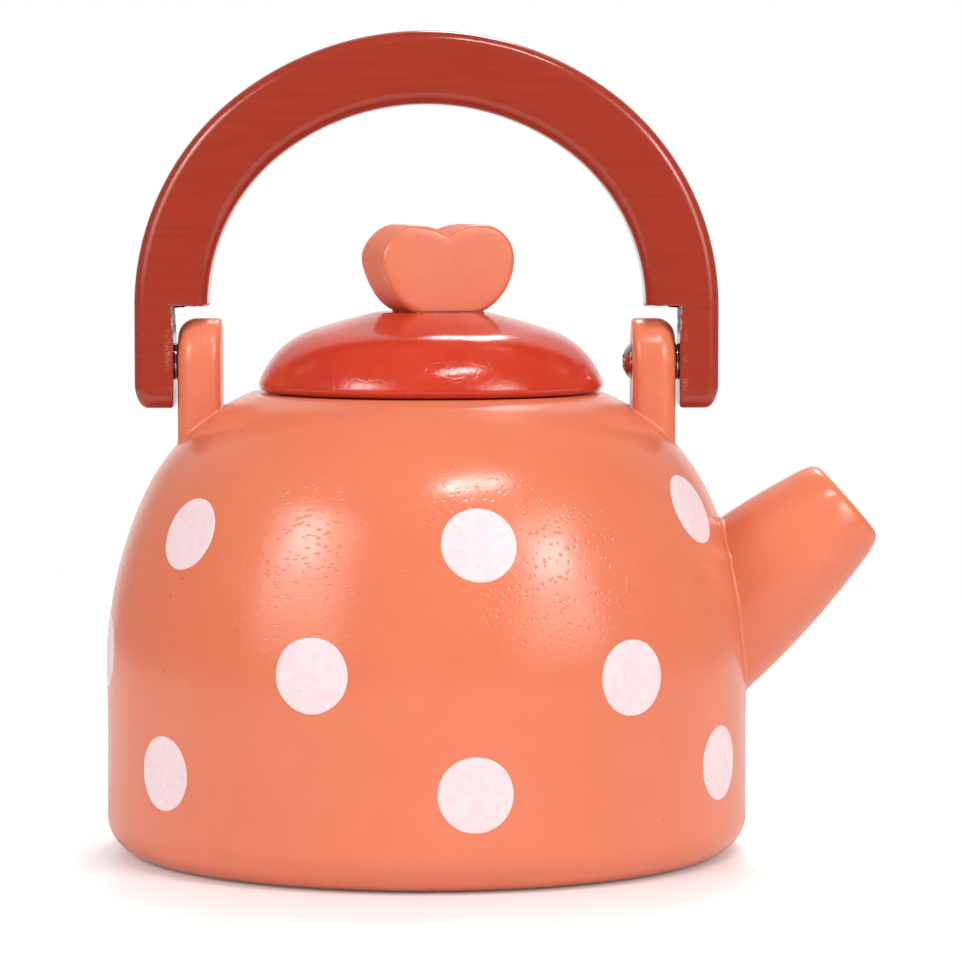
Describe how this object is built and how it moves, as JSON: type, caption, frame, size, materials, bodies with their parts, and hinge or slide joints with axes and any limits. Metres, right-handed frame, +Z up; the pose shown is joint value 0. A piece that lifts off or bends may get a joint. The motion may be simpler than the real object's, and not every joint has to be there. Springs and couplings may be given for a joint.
{
  "type": "toy kettle",
  "caption": "Painted wooden toy kettle with a polka-dot body, a short spout, a lift-off lid with a heart knob and a swinging bow handle",
  "frame": {"origin": "centre of the flat underside, on the axis that the body is turned about", "axes": "+Z up along the turning axis; +X towards the spout, along the handle's pivot axis; -Y is the front"},
  "size_m": [0.1252, 0.1042, 0.1326],
  "materials": {
    "coral_paint": "satin coral paint",
    "lid_paint": "gloss red-orange paint",
    "handle_paint": "satin brick-red paint",
    "dot_paint": "satin pale pink paint",
    "bare_wood": "bare beech",
    "screw_steel": "bright zinc"
  },
  "bodies": {
    "kettle": {"body": "coral_paint", "left_ear": "coral_paint", "right_ear": "coral_paint", "left_plug": "coral_paint", "spout": "coral_paint", "spout_dowel": "bare_wood", "polka_dots": "dot_paint"},
    "bow": {"handle": "handle_paint", "left_pivot_screw": "screw_steel", "right_pivot_screw": "screw_steel", "left_washer": "screw_steel", "right_washer": "screw_steel"},
    "cover": {"lid": "lid_paint", "knob": "coral_paint", "knob_dowel": "bare_wood"}
  },
  "joints": [
    {"name": "handle_swing", "type": "hinge", "parent": "kettle", "child": "bow", "pos_m": [0, 0, 0.0793], "axis": [1, 0, 0], "range_deg": [-100, 100]},
    {"name": "lid_lift", "type": "slide", "parent": "kettle", "child": "cover", "axis": [0, 0, 1], "range_m": [0, 0.015]}
  ]
}
